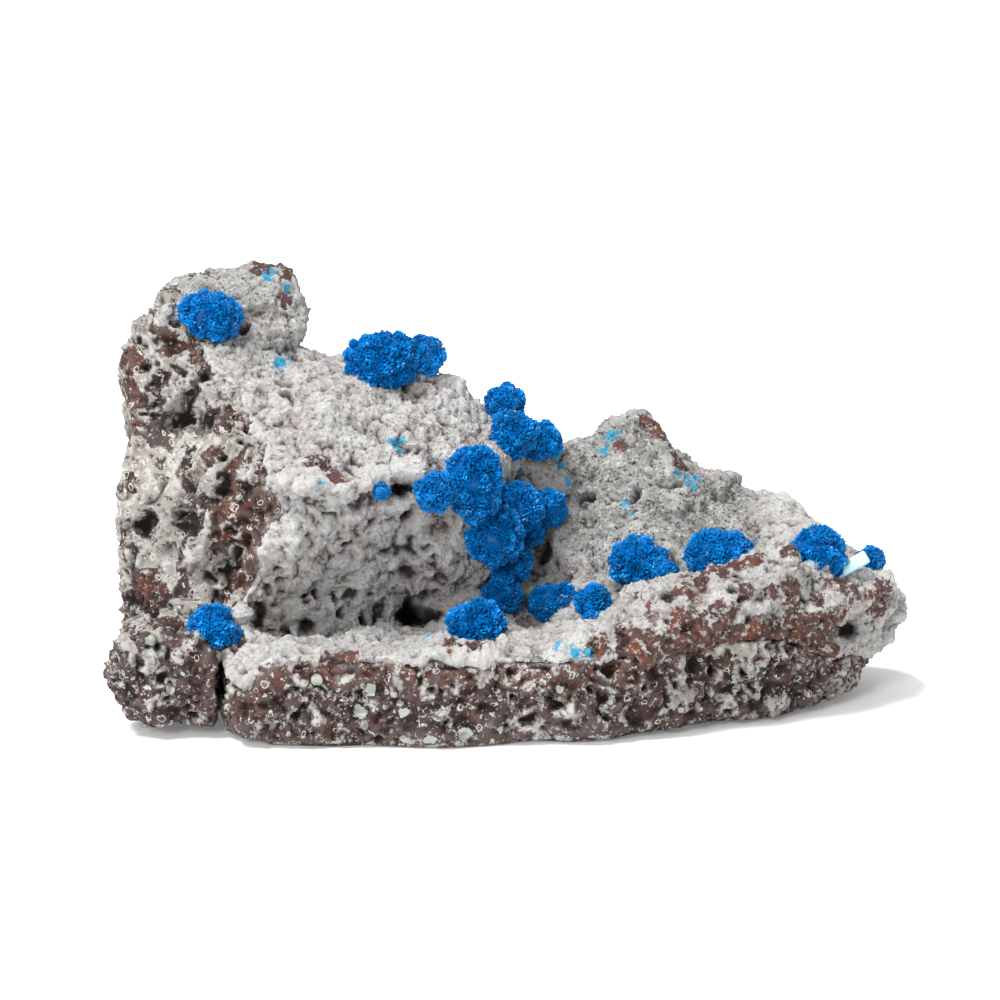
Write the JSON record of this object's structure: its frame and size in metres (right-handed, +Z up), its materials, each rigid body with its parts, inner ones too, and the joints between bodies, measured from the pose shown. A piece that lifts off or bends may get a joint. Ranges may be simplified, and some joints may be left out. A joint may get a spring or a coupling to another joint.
{
  "type": "cavansite mineral specimen",
  "caption": "Broken basalt block whose open hollow is lined with a pale drusy crust that carries deep blue balls of cavansite crystals.",
  "frame": {"origin": "under the middle of the whole specimen, on the surface that it stands on", "axes": "+X runs to the right along the block to its low end, +Y away from the open front, +Z up"},
  "size_m": [0.1396, 0.0742, 0.0763],
  "materials": {
    "basalt": "matte",
    "drusy_crust": "matte",
    "cavansite": "satin"
  },
  "bodies": {
    "root": {"basalt_matrix": "basalt", "drusy_crust": "drusy_crust", "cavansite_niche": "cavansite", "cavansite_crown": "cavansite", "cavansite_upper_trail": "cavansite", "cavansite_middle_trail": "cavansite", "cavansite_floor": "cavansite", "cavansite_fan": "cavansite", "cavansite_ledge": "cavansite", "cavansite_ridge_left": "cavansite", "cavansite_ridge_right": "cavansite", "cavansite_end_large": "cavansite", "cavansite_end_small": "cavansite", "cavansite_gap": "cavansite", "cavansite_bud": "cavansite"}
  },
  "joints": []
}
